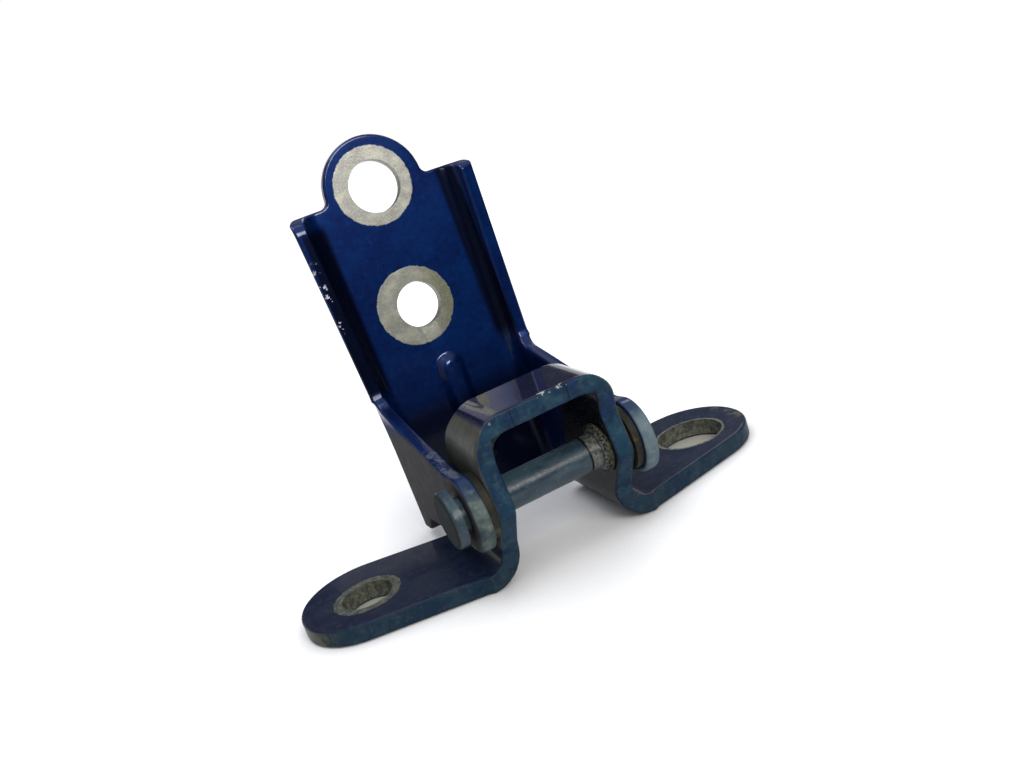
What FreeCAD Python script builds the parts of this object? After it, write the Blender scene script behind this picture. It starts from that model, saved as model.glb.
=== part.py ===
import FreeCAD, Part
import math
import os
import Sketcher

# Car door hinge with a pressed channel leaf and an omega bracket.
# The bracket stands on its two feet. X runs along the pin, Y points away from
# the pin towards the leaf's plate, Z points up. The origin is midway between
# the two foot holes, on the undersides of the feet.

SIZES = {
    # omega bracket
    "bracket_sheet": 4.3,
    "bracket_gap": 25.0,
    "bracket_height": 39.7,
    "foot_bend_radius": 4.0,
    "shoulder_bend_radius": 3.5,
    "bridge_front": 6.9,
    "bridge_back": 10.5,
    "foot_hole_spacing": 89.0,
    "foot_hole_setback": 21.0,
    "left_foot_bore": 12.0,
    "right_foot_bore": 16.4,
    "foot_tip_radius": 15.4,
    "foot_tip_setback": 2.1,
    "foot_front_angle": 14.2,
    "foot_back_angle": 16.9,
    "ear_nose": 7.4,
    "ear_neck": 4.8,
    "ear_neck_height": 29.0,
    "ear_toe_setback": 0.8,
    "ear_rear": 16.2,
    "ear_rear_height": 29.5,
    "ear_heel": 22.5,
    "ear_heel_height": 15.5,
    "ear_edge_radius": 5.0,
    # hinge pin
    "pin_height": 20.4,
    "pin_bore": 8.0,
    "pin_head_radius": 6.5,
    "pin_head_width": 2.5,
    "pin_head_gap": 1.6,
    "pin_head_edge": 1.0,
    "pin_rivet_radius": 5.2,
    "pin_rivet_width": 1.0,
    "pin_rivet_gap": 0.2,
    "pin_groove_place": 7.6,
    "pin_groove_width": 0.5,
    "pin_groove_depth": 0.35,
    "pin_collar_radius": 5.2,
    "pin_collar_width": 1.8,
    "pin_collar_chamfer": 0.6,
    # bushes
    "bush_wall": 1.2,
    "bush_flange_width": 1.6,
    "bush_flange_radius": 7.6,
    "bush_running_clearance": 0.05,
    "bush_end_clearance": 0.15,
    # channel leaf
    "leaf_sheet": 3.3,
    "leaf_lean": 5.9,
    "plate_distance": 51.0,
    "leaf_bend_radius": 4.2,
    "flange_angle": 69.0,
    "flange_straight": 3.4,
    "flange_height": 4.1,
    "flat_half_width_top": 16.4,
    "flat_half_width_middle": 14.9,
    "ramp_start": 22.0,
    "ramp_end": 8.0,
    "left_shoulder": 70.4,
    "right_shoulder": 66.5,
    "leaf_bottom": 13.0,
    "ear_end_radius": 8.6,
    "ear_end_drop": 0.5,
    "ear_top_rise": 13.5,
    "ear_top_reach": 24.0,
    "ramp_radius": 11.0,
    "lobe_half_width": 12.9,
    "lobe_fillet": 1.8,
    "upper_hole_height": 71.4,
    "upper_hole_offset": 0.5,
    "upper_hole_bore": 13.3,
    "lower_hole_height": 39.9,
    "lower_hole_offset": 1.0,
    "lower_hole_bore": 11.7,
    "bead_offset": 0.5,
    "bead_width": 8.4,
    "bead_top": 26.0,
    "bead_bottom": 6.0,
    "bead_depth": 1.5,
    "edge_rounding": 0.7,
}

doc = FreeCAD.newDocument("door_hinge")
sheet = doc.addObject("Spreadsheet::Sheet", "Dimensions")
for row, (name, number) in enumerate(SIZES.items(), start=1):
    sheet.set(f"A{row}", name.replace("_", " "))
    sheet.set(f"B{row}", str(number))
    sheet.setAlias(f"B{row}", name)
doc.recompute()


class Length:
    """A size that carries its value and the sheet expression that it comes from."""

    def __init__(self, value, text=None):
        self.value = float(value)
        self.text = text if text is not None else repr(float(value))

    def __add__(self, other):
        other = as_length(other)
        return Length(self.value + other.value, f"({self.text} + {other.text})")

    def __sub__(self, other):
        other = as_length(other)
        return Length(self.value - other.value, f"({self.text} - {other.text})")

    def __mul__(self, other):
        other = as_length(other)
        return Length(self.value * other.value, f"({self.text} * {other.text})")

    def __truediv__(self, other):
        other = as_length(other)
        return Length(self.value / other.value, f"({self.text} / {other.text})")

    def __neg__(self):
        return Length(-self.value, f"(-1 * {self.text})")

    __radd__ = __add__
    __rmul__ = __mul__

    def __rsub__(self, other):
        return as_length(other) - self


def as_length(item):
    return item if isinstance(item, Length) else Length(item)


def size(name):
    """The size in the sheet's cell of that name."""
    return Length(sheet.get(name), f"{sheet.Name}.{name}")


def tangent(angle):
    return Length(math.tan(math.radians(angle.value)), f"tan({angle.text})")


def sine(angle):
    return Length(math.sin(math.radians(angle.value)), f"sin({angle.text})")


def cosine(angle):
    return Length(math.cos(math.radians(angle.value)), f"cos({angle.text})")


def half_tangent(angle):
    return Length(math.tan(math.radians(angle.value / 2)), f"tan({angle.text} / 2)")


def plane_of(body, role):
    return next(f for f in body.Origin.OriginFeatures if f.Role == role)


def new_sketch(body, name, role, offset=None):
    """A sketch on one of the body's origin planes, moved along the plane's normal."""
    sketch = body.newObject("Sketcher::SketchObject", name)
    sketch.AttachmentSupport = [(plane_of(body, role), "")]
    sketch.MapMode = "FlatFace"
    if offset is not None:
        sketch.AttachmentOffset = FreeCAD.Placement(
            FreeCAD.Vector(0, 0, offset.value), FreeCAD.Rotation())
        sketch.setExpression("AttachmentOffset.Base.z", offset.text)
    return sketch


def constrain(sketch, kind, items, length=None):
    """Adds one constraint, bound to the sheet where it has a length."""
    if length is None:
        sketch.addConstraint(Sketcher.Constraint(kind, *items))
        return
    index = sketch.addConstraint(Sketcher.Constraint(kind, *items, length.value))
    if not length.text.replace(".", "").replace("-", "").isdigit():
        sketch.setExpression(f"Constraints[{index}]", length.text)


def place_point(sketch, item, corner, across, up):
    """Ties one point of a sketch to the sketch's origin."""
    for kind, length in (("DistanceX", across), ("DistanceY", up)):
        if abs(length.value) < 1e-9:
            axis = -2 if kind == "DistanceX" else -1
            constrain(sketch, "PointOnObject", (item, corner, axis))
        else:
            constrain(sketch, kind, (-1, 1, item, corner), length)


def draw_outline(sketch, corners):
    """Draws a closed outline from corners (across, up, radius), each radius an arc."""
    count = len(corners)
    spots = [FreeCAD.Vector(as_length(c[0]).value, as_length(c[1]).value, 0) for c in corners]
    radii = [as_length(c[2]) if len(c) > 2 else None for c in corners]
    starts, ends, centres = [], [], []
    for i in range(count):
        before = (spots[i - 1] - spots[i]).normalize()
        after = (spots[(i + 1) % count] - spots[i]).normalize()
        if radii[i] is None:
            starts.append(spots[i])
            ends.append(spots[i])
            centres.append(None)
            continue
        half = before.getAngle(after) / 2
        reach = radii[i].value / math.tan(half)
        starts.append(spots[i] + before * reach)
        ends.append(spots[i] + after * reach)
        centres.append(spots[i] + (before + after).normalize() * (radii[i].value / math.sin(half)))
    lines, arcs = [], []
    for i in range(count):
        edge = Part.LineSegment(ends[i], starts[(i + 1) % count])
        lines.append(sketch.addGeometry(edge))
    for i in range(count):
        if radii[i] is None:
            arcs.append(None)
            continue
        centre = centres[i]
        first = math.atan2(starts[i].y - centre.y, starts[i].x - centre.x)
        last = math.atan2(ends[i].y - centre.y, ends[i].x - centre.x)
        turn = (last - first) % (2 * math.pi)
        forward = turn < math.pi
        span = (first, last) if forward else (last, first)
        circle = Part.Circle(centre, FreeCAD.Vector(0, 0, 1), radii[i].value)
        arcs.append((sketch.addGeometry(Part.ArcOfCircle(circle, *span)), forward))
    for i in range(count):
        across, up = as_length(corners[i][0]), as_length(corners[i][1])
        incoming, outgoing = lines[i - 1], lines[i]
        if arcs[i] is None:
            constrain(sketch, "Coincident", (incoming, 2, outgoing, 1))
            place_point(sketch, outgoing, 1, across, up)
            continue
        mark = sketch.addGeometry(Part.Point(spots[i]), True)
        place_point(sketch, mark, 1, across, up)
        constrain(sketch, "PointOnObject", (mark, 1, incoming))
        constrain(sketch, "PointOnObject", (mark, 1, outgoing))
        arc, forward = arcs[i]
        near, far = (1, 2) if forward else (2, 1)
        constrain(sketch, "Tangent", (incoming, 2, arc, near))
        constrain(sketch, "Tangent", (outgoing, 1, arc, far))
        constrain(sketch, "Radius", (arc,), radii[i])


def draw_circle(sketch, across, up, diameter):
    across, up, diameter = as_length(across), as_length(up), as_length(diameter)
    centre = FreeCAD.Vector(across.value, up.value, 0)
    circle = sketch.addGeometry(
        Part.Circle(centre, FreeCAD.Vector(0, 0, 1), diameter.value / 2))
    place_point(sketch, circle, 3, across, up)
    constrain(sketch, "Diameter", (circle,), diameter)


def bind(feature, setting, length):
    setattr(feature, setting, length.value)
    feature.setExpression(setting, length.text)


def pad(body, name, sketch, length, both_ways=True, backwards=False, lean=None):
    """Fills the sketch's area; lean slants the pad along X, per length along Y."""
    feature = body.newObject("PartDesign::Pad", name)
    feature.Profile = sketch
    bind(feature, "Length", length)
    feature.Midplane = both_ways
    feature.Reversed = backwards
    if lean is not None:
        feature.UseCustomVector = True
        feature.AlongSketchNormal = True
        feature.Direction = FreeCAD.Vector(lean.value, 1, 0)
        feature.setExpression("Direction.x", lean.text)
    doc.recompute()
    return feature


def pocket(body, name, sketch, length, both_ways=True, backwards=False):
    """Cuts the sketch's area, and raises an error where it takes nothing away."""
    before = body.Tip.Shape.Volume
    feature = body.newObject("PartDesign::Pocket", name)
    feature.Profile = sketch
    bind(feature, "Length", length)
    feature.Midplane = both_ways
    feature.Reversed = backwards
    doc.recompute()
    if feature.Shape.Volume > before - 0.01:
        raise RuntimeError(f"{name} takes nothing away")
    return feature


def keep_outline(body, name, role, corners, reach):
    """Trims the body to an outline that is seen square to one origin plane."""
    sketch = new_sketch(body, name + "_sketch", role)
    draw_outline(sketch, corners)
    draw_outline(sketch, [(-reach, -reach), (reach, -reach), (reach, reach), (-reach, reach)])
    return pocket(body, name, sketch, reach * 2)


def middle_of(edge):
    return edge.valueAt((edge.FirstParameter + edge.LastParameter) / 2)


def is_sharp(shape, edge):
    """Whether the two faces of an open edge meet at a clear angle."""
    faces = shape.ancestorsOfType(edge, Part.Face)
    if edge.Closed or len(faces) != 2:
        return False
    middle = middle_of(edge)
    normals = [face.normalAt(*face.Surface.parameter(middle)) for face in faces]
    return normals[0].getAngle(normals[1]) > math.radians(SMOOTH_ANGLE)


def round_sharp_edges(body, name, radius, wanted=None):
    """Rounds the open sharp edges, or only those whose middle is wanted."""
    base = body.Tip
    names = []
    for number, edge in enumerate(base.Shape.Edges, start=1):
        chosen = wanted is None or wanted(middle_of(edge))
        if is_sharp(base.Shape, edge) and chosen:
            names.append(f"Edge{number}")
    feature = body.newObject("PartDesign::Fillet", name)
    feature.Base = (base, names)
    bind(feature, "Radius", radius)
    doc.recompute()
    return feature


# Faces that meet at less than this many degrees count as one smooth surface.
SMOOTH_ANGLE = 35

# Points closer than this count as one.
TOUCH = 0.01

# Share of a full round that the two arcs of a round end take, so that the
# straight line between them keeps some length.
FULL_ROUND = 0.98

# The bead's side from its foot to its crown, as shares of its depth and half width.
BEAD_SLOPE = ((0.0, 1.0), (0.25, 0.8), (0.75, 0.55), (1.0, 0.35))

# Sizes that several pieces share.
reach = size("foot_hole_spacing") * 1.5
pin_back = -size("foot_hole_setback")
pin_up = size("pin_height")
bracket_inner = size("bracket_gap") / 2
bracket_outer = bracket_inner + size("bracket_sheet")
leaf_inner = bracket_outer + size("bush_flange_width") + size("bush_end_clearance")
leaf_outer = leaf_inner + size("leaf_sheet")
bush_outer = size("pin_bore") / 2 + size("bush_running_clearance") + size("bush_wall")


def make_bracket():
    """Omega bracket: bridge, two ears and two feet, folded from one thick sheet."""
    body = doc.addObject("PartDesign::Body", "hat_bracket")
    sheet_thickness = size("bracket_sheet")
    top = size("bracket_height")
    inner_fold = size("foot_bend_radius")
    outer_fold = inner_fold + sheet_thickness
    inner_shoulder = size("shoulder_bend_radius")
    outer_shoulder = inner_shoulder + sheet_thickness
    hole_x = size("foot_hole_spacing") / 2
    tip = size("foot_tip_radius")
    tip_x = hole_x + tip

    folded = new_sketch(body, "folded_section", "XZ_Plane")
    draw_outline(folded, [
        (-tip_x, 0.0),
        (-bracket_inner, 0.0, outer_fold),
        (-bracket_inner, top - sheet_thickness, inner_shoulder),
        (bracket_inner, top - sheet_thickness, inner_shoulder),
        (bracket_inner, 0.0, outer_fold),
        (tip_x, 0.0),
        (tip_x, sheet_thickness),
        (bracket_outer, sheet_thickness, inner_fold),
        (bracket_outer, top, outer_shoulder),
        (-bracket_outer, top, outer_shoulder),
        (-bracket_outer, sheet_thickness, inner_fold),
        (-tip_x, sheet_thickness),
    ])
    pad(body, "folded_sheet", folded, reach * 2)

    # Plan view of a foot: a round tip, and two straight edges that touch it and
    # run in to the fold.
    fold_end = bracket_outer + inner_fold
    middle = size("foot_tip_setback")
    slant, back_slant = size("foot_front_angle"), size("foot_back_angle")
    front_corner = middle - tip * (1.0 - sine(slant)) / cosine(slant)
    back_corner = middle + tip * (1.0 + sine(back_slant)) / cosine(back_slant)
    front_root = front_corner - (tip_x - fold_end) * tangent(slant)
    back_root = back_corner - (tip_x - fold_end) * tangent(back_slant)

    # Side view: the bridge, a neck under it, the nose round the pin, and the
    # ears spreading back to the feet.
    edge = size("ear_edge_radius")
    front = pin_back - size("bridge_front")
    back = pin_back + size("bridge_back")
    keep_outline(body, "side_outline", "YZ_Plane", [
        (-reach / 2, -sheet_thickness),
        (reach / 2, -sheet_thickness),
        (reach / 2, sheet_thickness),
        (back_root, sheet_thickness, edge),
        (pin_back + size("ear_heel"), size("ear_heel_height"), edge * 3),
        (pin_back + size("ear_rear"), size("ear_rear_height"), edge * 2),
        (back, top - sheet_thickness / 2, edge / 2),
        (back, top + sheet_thickness),
        (front, top + sheet_thickness),
        (front, top - sheet_thickness, edge / 4),
        (pin_back - size("ear_neck"), size("ear_neck_height"), edge),
        (pin_back - size("ear_nose"), pin_up - edge / 4, edge),
        (pin_back + size("ear_toe_setback"), outer_fold, edge),
        (pin_back + size("ear_toe_setback"), 0.0),
        (-reach / 2, 0.0),
    ], reach)

    right = [
        (bracket_inner, front_root - reach / 4),
        (bracket_outer, pin_back - size("ear_nose")),
        (fold_end, front_root, edge),
        (tip_x, front_corner, tip * FULL_ROUND),
        (tip_x, back_corner, tip * FULL_ROUND),
        (fold_end, back_root, edge),
    ]
    left = [(-corner[0],) + tuple(corner[1:]) for corner in reversed(right)]
    keep_outline(body, "plan_outline", "XY_Plane", right + left, reach)

    for side, x in (("left", -hole_x), ("right", hole_x)):
        hole = new_sketch(body, side + "_foot_hole_sketch", "XY_Plane")
        draw_circle(hole, x, 0.0, size(side + "_foot_bore"))
        pocket(body, side + "_foot_hole", hole, sheet_thickness * 4)
    bore = new_sketch(body, "pin_bore_sketch", "YZ_Plane")
    draw_circle(bore, pin_back, pin_up, size("pin_bore"))
    pocket(body, "pin_bore", bore, bracket_outer * 3)
    round_sharp_edges(body, "rounded_edges", size("edge_rounding"))
    return body


def channel_section(body, name, height, flat, angle, straight, side=0):
    """Cross-section of the leaf, flat plate and bent-up flanges, or one side's half."""
    thickness = size("leaf_sheet")
    fold = size("leaf_bend_radius")
    front = -size("plate_distance")
    back = front - thickness
    inner_corner = flat + fold * half_tangent(angle)
    outer_corner = flat + (fold + thickness) * half_tangent(angle)
    wing = fold * half_tangent(angle) + straight
    tip_x = inner_corner + wing * cosine(angle)
    tip_z = front + wing * sine(angle)
    rim_x = tip_x + thickness * sine(angle)
    rim_z = tip_z - thickness * cosine(angle)
    sketch = new_sketch(body, name, "XZ_Plane", -height)
    right = [
        (outer_corner, back, fold + thickness),
        (rim_x, rim_z),
        (tip_x, tip_z),
        (inner_corner, front, fold),
    ]
    left = [(-c[0],) + tuple(c[1:]) for c in reversed(right)]
    overlap = flat / 2
    if side > 0:
        draw_outline(sketch, right + [(-overlap, front), (-overlap, back)])
    elif side < 0:
        draw_outline(sketch, left + [(overlap, back), (overlap, front)])
    else:
        draw_outline(sketch, right + left)
    return sketch


def bead_outline(body, name, height, half_width):
    """Stadium outline of the plate's bead, at one depth."""
    sketch = new_sketch(body, name, "XY_Plane", height)
    middle = size("bead_offset")
    top, bottom = size("bead_top"), -size("bead_bottom")
    shrink = size("bead_width") / 2 - half_width
    draw_outline(sketch, [
        (middle - half_width, bottom + shrink, half_width * FULL_ROUND),
        (middle + half_width, bottom + shrink, half_width * FULL_ROUND),
        (middle + half_width, top - shrink, half_width * FULL_ROUND),
        (middle - half_width, top - shrink, half_width * FULL_ROUND),
    ])
    return sketch


def press_bead(body, front):
    """Stiffening bead with soft sides, pressed forward out of the plate, hollow behind."""
    back = front - size("leaf_sheet")
    for kind, name, start in (("Additive", "bead", front), ("Subtractive", "bead_hollow", back)):
        outlines = [
            bead_outline(body, f"{name}_{step}", start + size("bead_depth") * depth,
                         size("bead_width") / 2 * width)
            for step, (depth, width) in enumerate(BEAD_SLOPE)
        ]
        loft = body.newObject(f"PartDesign::{kind}Loft", name)
        loft.Profile = outlines[0]
        loft.Sections = outlines[1:]
        loft.Ruled = True
        doc.recompute()


def make_leaf():
    """Channel leaf: bolt plate with a round top lobe, flanges and two pin ears."""
    body = doc.addObject("PartDesign::Body", "channel_leaf")
    thickness = size("leaf_sheet")
    front = -size("plate_distance")
    upright = Length(90.0)
    ear_flat = leaf_inner - size("leaf_bend_radius")
    ear_straight = size("plate_distance") + size("ear_end_radius") * 2
    angle = size("flange_angle")
    straight = size("flange_straight")
    shoulder = size("left_shoulder")
    start, end, bottom = size("ramp_start"), size("ramp_end"), -size("leaf_bottom")

    # Upper channel: two halves that spread a little towards the top.
    upper = shoulder - start
    spread = (size("flat_half_width_top") - size("flat_half_width_middle")) / upper
    for side, name in ((-1, "left"), (1, "right")):
        half = channel_section(body, name + "_section", start, size("flat_half_width_middle"),
                               angle, straight, side)
        pad(body, name + "_channel", half, upper, both_ways=False, lean=spread * side)

    # Below it the flanges turn square to the plate and become the ears.
    ramp = body.newObject("PartDesign::AdditiveLoft", "ramp")
    ramp.Profile = channel_section(body, "ramp_section", start,
                                   size("flat_half_width_middle"), angle, straight)
    ramp.Sections = [channel_section(body, "ear_section", end, ear_flat, upright, ear_straight)]
    ramp.Ruled = True
    doc.recompute()
    ears = channel_section(body, "bottom_section", bottom, ear_flat, upright, ear_straight)
    pad(body, "ears", ears, end - bottom, both_ways=False, backwards=True)

    # Side view: low flanges above, a ramp, and the ears reaching to the pin with
    # a full round end.
    flange_top = front + size("flange_height")
    nose = size("ear_end_radius")
    nose_top, nose_bottom = nose - size("ear_end_drop"), -nose - size("ear_end_drop")
    keep_outline(body, "ear_outline", "YZ_Plane", [
        (bottom, front - thickness * 2),
        (reach, front - thickness * 2),
        (reach, flange_top),
        (start - thickness / 2, flange_top, size("ramp_radius") / 2),
        (size("ear_top_rise"), -size("ear_top_reach"), size("ramp_radius")),
        (nose_top, -nose / 2, nose),
        (nose_top, nose, nose * FULL_ROUND),
        (nose_bottom, nose, nose * FULL_ROUND),
        (nose_bottom, front + size("leaf_bend_radius") * 3, thickness),
        (bottom, front + size("leaf_bend_radius") * 2, thickness),
    ], reach)

    # Front view: the plate's top edge falls away over the right flange, and a
    # round lobe stands above it for the upper hole.
    corner = size("flat_half_width_top") - thickness / 2
    slope = new_sketch(body, "right_shoulder_sketch", "XY_Plane", front)
    draw_outline(slope, [
        (corner, shoulder),
        (corner + thickness * 3, size("right_shoulder")),
        (reach / 2, size("right_shoulder")),
        (reach / 2, shoulder + thickness),
        (corner, shoulder + thickness),
    ])
    pocket(body, "right_shoulder", slope, reach)
    lobe = new_sketch(body, "lobe_sketch", "XY_Plane", front)
    draw_circle(lobe, -size("upper_hole_offset"), size("upper_hole_height"),
                size("lobe_half_width") * 2)
    pad(body, "lobe", lobe, thickness, both_ways=False, backwards=True)
    round_sharp_edges(body, "lobe_corners", size("lobe_fillet"),
                      lambda spot: (abs(spot.y - shoulder.value) < TOUCH
                                    and abs(spot.x) < size("lobe_half_width").value * 1.1
                                    and abs(spot.z - (front - thickness / 2).value) < TOUCH))

    press_bead(body, front)
    for place in ("upper", "lower"):
        hole = new_sketch(body, place + "_hole_sketch", "XY_Plane", front)
        draw_circle(hole, -size(place + "_hole_offset"), size(place + "_hole_height"),
                    size(place + "_hole_bore"))
        pocket(body, place + "_hole", hole, thickness * 4)
    bore = new_sketch(body, "bush_bore_sketch", "YZ_Plane")
    draw_circle(bore, 0.0, 0.0, bush_outer * 2)
    pocket(body, "bush_bore", bore, leaf_outer * 3)
    # The flanges keep the crease across them where the ramp starts.
    round_sharp_edges(body, "rounded_edges", size("edge_rounding"),
                      lambda spot: abs(spot.y - start.value) > TOUCH)

    body.Placement = FreeCAD.Placement(
        FreeCAD.Vector(0, pin_back.value, pin_up.value),
        FreeCAD.Rotation(FreeCAD.Vector(1, 0, 0), 90 - size("leaf_lean").value))
    body.setExpression("Placement.Base.y", pin_back.text)
    body.setExpression("Placement.Base.z", pin_up.text)
    body.setExpression("Placement.Rotation.Angle", f"90 - {size('leaf_lean').text}")
    return body


def turned(name, corners):
    """A turned piece about X: the outline is (along, radius) from the axis out."""
    body = doc.addObject("PartDesign::Body", name)
    sketch = new_sketch(body, name + "_profile", "XZ_Plane")
    draw_outline(sketch, corners)
    feature = body.newObject("PartDesign::Revolution", name + "_turned")
    feature.Profile = sketch
    feature.ReferenceAxis = (sketch, ["H_Axis"])
    feature.Angle = 360.0
    doc.recompute()
    body.Placement.Base = FreeCAD.Vector(0, pin_back.value, pin_up.value)
    body.setExpression("Placement.Base.y", pin_back.text)
    body.setExpression("Placement.Base.z", pin_up.text)
    return body


def make_pin():
    """Hinge pin: a head on the left, a low rivet on the right, a collar and a groove."""
    shaft = size("pin_bore") / 2
    head = size("pin_head_radius")
    head_start = leaf_outer + size("pin_head_gap")
    head_end = head_start + size("pin_head_width")
    rivet = size("pin_rivet_radius")
    rivet_start = leaf_outer + size("pin_rivet_gap")
    rivet_end = rivet_start + size("pin_rivet_width")
    collar, chamfer = size("pin_collar_radius"), size("pin_collar_chamfer")
    collar_start = bracket_inner - size("pin_collar_width")
    groove = size("pin_groove_place")
    groove_end = groove + size("pin_groove_width")
    groove_radius = shaft - size("pin_groove_depth")
    return turned("hinge_pin", [
        (-head_end, 0.0),
        (rivet_end, 0.0),
        (rivet_end, rivet - chamfer),
        (rivet_end - chamfer, rivet),
        (rivet_start, rivet),
        (rivet_start, shaft),
        (bracket_inner, shaft),
        (bracket_inner, collar),
        (collar_start + chamfer, collar),
        (collar_start, collar - chamfer),
        (collar_start, shaft),
        (groove_end, shaft),
        (groove_end, groove_radius),
        (groove, groove_radius),
        (groove, shaft),
        (-head_start, shaft),
        (-head_start, head),
        (-head_end, head, size("pin_head_edge")),
    ])


def make_bush(name, side):
    """Flanged bush pressed into a leaf ear, its flange against the bracket's ear."""
    bore = size("pin_bore") / 2 + size("bush_running_clearance")
    flange_start = leaf_inner - size("bush_flange_width")
    corners = [
        (flange_start, bore),
        (leaf_outer, bore),
        (leaf_outer, bush_outer),
        (leaf_inner, bush_outer),
        (leaf_inner, size("bush_flange_radius")),
        (flange_start, size("bush_flange_radius")),
    ]
    if side < 0:
        corners = [(-c[0],) + tuple(c[1:]) for c in reversed(corners)]
    return turned(name, corners)


pieces = [
    make_bracket(),
    make_leaf(),
    make_pin(),
    make_bush("left_bush", -1),
    make_bush("right_bush", 1),
]
doc.recompute()

for item in doc.Objects:
    if "Invalid" in item.State or "Error" in item.State:
        raise RuntimeError(f"{item.Label} failed: {item.State}")

os.makedirs("parts", exist_ok=True)
for piece in pieces:
    shape = piece.Shape
    if shape.isNull() or not shape.isValid():
        raise RuntimeError(f"{piece.Label} has no valid shape")
    shape.exportStep(f"parts/{piece.Label}.step")
    print(piece.Label, round(shape.Volume, 1), len(shape.Solids))
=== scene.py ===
# %% [markdown]
# # A pressed car door hinge
# A door hinge is folded from thick steel sheet, riveted together and painted in the
# car's colour with the rest of the body. The leaf that is screwed to the door is a
# channel with two ears. The bracket that is screwed to the door post is bent like the
# letter omega, and the pin runs through both. The solid model already has every piece at
# its real size, so this script loads it and gives it its paint, its bare metal, its dirt
# and its light.

# %% Load the solid model
import math

import bmesh
import bpy
import numpy as np
from mathutils import Matrix, Vector


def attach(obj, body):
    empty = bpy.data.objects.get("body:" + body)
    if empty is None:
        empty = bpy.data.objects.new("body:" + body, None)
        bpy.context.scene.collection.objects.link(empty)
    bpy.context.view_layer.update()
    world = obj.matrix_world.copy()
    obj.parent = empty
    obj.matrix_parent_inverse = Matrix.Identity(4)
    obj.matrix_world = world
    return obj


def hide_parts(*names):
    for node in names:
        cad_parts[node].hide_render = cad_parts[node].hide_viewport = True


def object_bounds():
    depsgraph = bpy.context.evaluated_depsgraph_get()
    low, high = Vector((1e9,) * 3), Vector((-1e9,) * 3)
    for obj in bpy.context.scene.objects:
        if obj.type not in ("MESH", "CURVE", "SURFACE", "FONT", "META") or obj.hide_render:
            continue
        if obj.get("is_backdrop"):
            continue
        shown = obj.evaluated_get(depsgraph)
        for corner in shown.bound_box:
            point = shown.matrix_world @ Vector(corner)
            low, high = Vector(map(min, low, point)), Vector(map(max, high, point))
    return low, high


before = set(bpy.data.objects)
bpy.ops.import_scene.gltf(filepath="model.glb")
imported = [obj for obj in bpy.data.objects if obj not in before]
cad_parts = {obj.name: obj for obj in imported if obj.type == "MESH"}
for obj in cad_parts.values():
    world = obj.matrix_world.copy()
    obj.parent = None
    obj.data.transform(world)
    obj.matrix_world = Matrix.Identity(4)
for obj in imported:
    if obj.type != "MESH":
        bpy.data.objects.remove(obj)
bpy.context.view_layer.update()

scene = bpy.context.scene
MM = 0.001
print("pieces:", sorted(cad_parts))

# %% [markdown]
# ## Where the camera stands
# The view is a low one from the front left, about 16 degrees above the feet, and the
# camera is rolled so that the right foot rises in the picture. Three directions say this
# exactly: what points right, down and ahead in the picture. A camera in Blender looks
# along its own -Z with +Y up, so its turn is the matrix with the columns right, up and
# back. A lens of 35.33 mm on a 36 mm frame gives the field of view.

# %% Camera
EYE = Vector((-63.84, -212.95, 100.66)) * MM
RIGHT = Vector((0.870525, -0.376323, -0.317123))
DOWN = Vector((-0.395162, -0.150457, -0.906206))
AHEAD = Vector((0.293313, 0.914190, -0.279685))

lens = bpy.data.cameras.new("studio_camera")
lens.lens = 35.33
lens.sensor_width = 36.0
lens.clip_start = 0.01
camera = bpy.data.objects.new("studio_camera", lens)
camera.matrix_world = Matrix.Translation(EYE) @ Matrix(
    (RIGHT, -DOWN, -AHEAD)).transposed().to_4x4()
scene.collection.objects.link(camera)
scene.camera = camera

# %% [markdown]
# ## Small helpers
# A colour picker gives sRGB values, and a shader works in linear light, so one function
# turns a hex colour into linear light. A second adds a node. Its settings are options of
# the node, values of its sockets, or sockets of other nodes, which it links.
#
# Paint, dirt and bare metal lie over each other in places, so two more functions work on
# whole groups of nodes: a zone is a place with soft limits, and coats are colours laid
# over each other, each in its own zone.

# %% Colour and node helpers
SOFT = {"interpolation_type": "SMOOTHSTEP"}
COLOUR = {"data_type": "RGBA"}
MIXED = 2


def linear(colour):
    """Linear light of an sRGB hex colour: c / 12.92 below 0.04045, and above it
    ((c + 0.055) / 1.055) to the power 2.4."""
    parts = [int(colour[i:i + 2], 16) / 255 for i in (1, 3, 5)]
    return tuple(c / 12.92 if c <= 0.04045 else ((c + 0.055) / 1.055) ** 2.4
                 for c in parts) + (1.0,)


def add(tree, kind, settings=None, output=0):
    """Adds one shader node with its settings and links, and returns one output."""
    made = tree.nodes.new("ShaderNode" + kind)
    for name, value in (settings or {}).items():
        if isinstance(name, str) and hasattr(made, name):
            setattr(made, name, value)
        elif isinstance(value, bpy.types.NodeSocket):
            tree.links.new(value, made.inputs[name])
        else:
            made.inputs[name].default_value = value
    return made.outputs[output] if made.outputs else None


def zone(tree, *limits):
    """1 inside all the limits and 0 outside one of them. A limit is a value, where it
    starts to count and where it counts in full: product of smooth steps."""
    inside = None
    for value, start, full in limits:
        step = add(tree, "MapRange", {**SOFT, 0: value, 1: start, 2: full})
        inside = step if inside is None else add(
            tree, "Math", {"operation": "MULTIPLY", 0: inside, 1: step})
    return inside


def coats(tree, base, *layers):
    """Lays colours over a base: a layer is its zone, its colour and how much it covers."""
    for where, colour, cover in layers:
        if cover < 1:
            where = add(tree, "Math", {"operation": "MULTIPLY", 0: where, 1: cover})
        base = add(tree, "Mix", {**COLOUR, 0: where,
                                 6: linear(base) if isinstance(base, str) else base,
                                 7: linear(colour) if isinstance(colour, str) else colour},
                   MIXED)
    return base


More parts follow.
